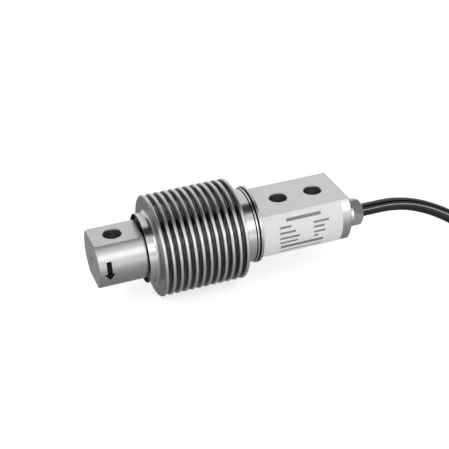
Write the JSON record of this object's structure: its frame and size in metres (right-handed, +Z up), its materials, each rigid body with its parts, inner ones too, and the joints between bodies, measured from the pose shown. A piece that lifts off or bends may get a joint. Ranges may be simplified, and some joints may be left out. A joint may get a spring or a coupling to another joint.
{
  "type": "bellows-sealed bending-beam load cell",
  "caption": "Bending-beam weighing cell with a welded metal bellows over its gauges, flats with through holes at both ends, a cable gland and a cable.",
  "frame": {"origin": "centre between the two fixing holes, on the fixing block's lower ground flat", "axes": "+X from the load end to the cable end along the beam, +Z up out of the fixing holes"},
  "size_m": [0.3235, 0.063, 0.047],
  "materials": {
    "stainless_body": "ground flats, turned round surfaces",
    "stainless_bellows": "bright rolled sheet",
    "stainless_ring": "turned, welded",
    "label_foil": "matt printed foil, left blank",
    "nickel_gland": "satin nickel plate on brass",
    "black_rubber": "moulded rubber",
    "gauge_carrier": "clear amber polyimide carrier",
    "enamelled_lead": "enamelled copper wire",
    "circuit_board": "coated glass-fibre board",
    "chip_resistor": "ceramic chip with glaze",
    "sealing_glass": "opaque sealing glass",
    "gold_pin": "gold-plated pin",
    "core_copper": "insulated cores",
    "cable_jacket": "smooth polyurethane sheath",
    "cable_tie": "moulded nylon",
    "shrink_sleeve": "heat-shrink sleeve",
    "core_red": "core insulation",
    "core_black": "core insulation",
    "core_green": "core insulation",
    "core_white": "core insulation",
    "shield_braid": "twisted tinned copper",
    "tinned_ferrule": "crimped tinned ferrule"
  },
  "bodies": {
    "root": {"beam_body": "stainless_body", "bellows": "stainless_bellows", "front_weld_ring": "stainless_ring", "rear_weld_ring": "stainless_ring", "label": "label_foil", "gland_body": "nickel_gland", "gland_nut": "nickel_gland", "gland_thrust_washer": "nickel_gland", "gland_seal": "black_rubber", "gland_o_ring": "black_rubber", "gauge_top_front": "gauge_carrier", "gauge_top_rear": "gauge_carrier", "gauge_bottom_front": "gauge_carrier", "gauge_bottom_rear": "gauge_carrier", "leads_top_front": "enamelled_lead", "leads_top_rear": "enamelled_lead", "leads_bottom_front": "enamelled_lead", "leads_bottom_rear": "enamelled_lead", "terminal_board": "circuit_board", "span_resistor": "chip_resistor", "zero_resistor": "chip_resistor", "bridge_wires": "enamelled_lead", "feedthrough_ring": "stainless_ring", "feedthrough_glass": "sealing_glass", "feedthrough_pins": "gold_pin", "cable_core_ends": "core_copper", "cable": "cable_jacket", "cable_hank": "cable_jacket", "cable_tail": "cable_jacket", "tie_front_side": "cable_tie", "tie_back_side": "cable_tie", "end_sleeve": "shrink_sleeve", "core_red": "core_red", "core_black": "core_black", "core_green": "core_green", "core_white": "core_white", "shield_tail": "shield_braid", "core_ferrules": "tinned_ferrule"}
  },
  "joints": []
}
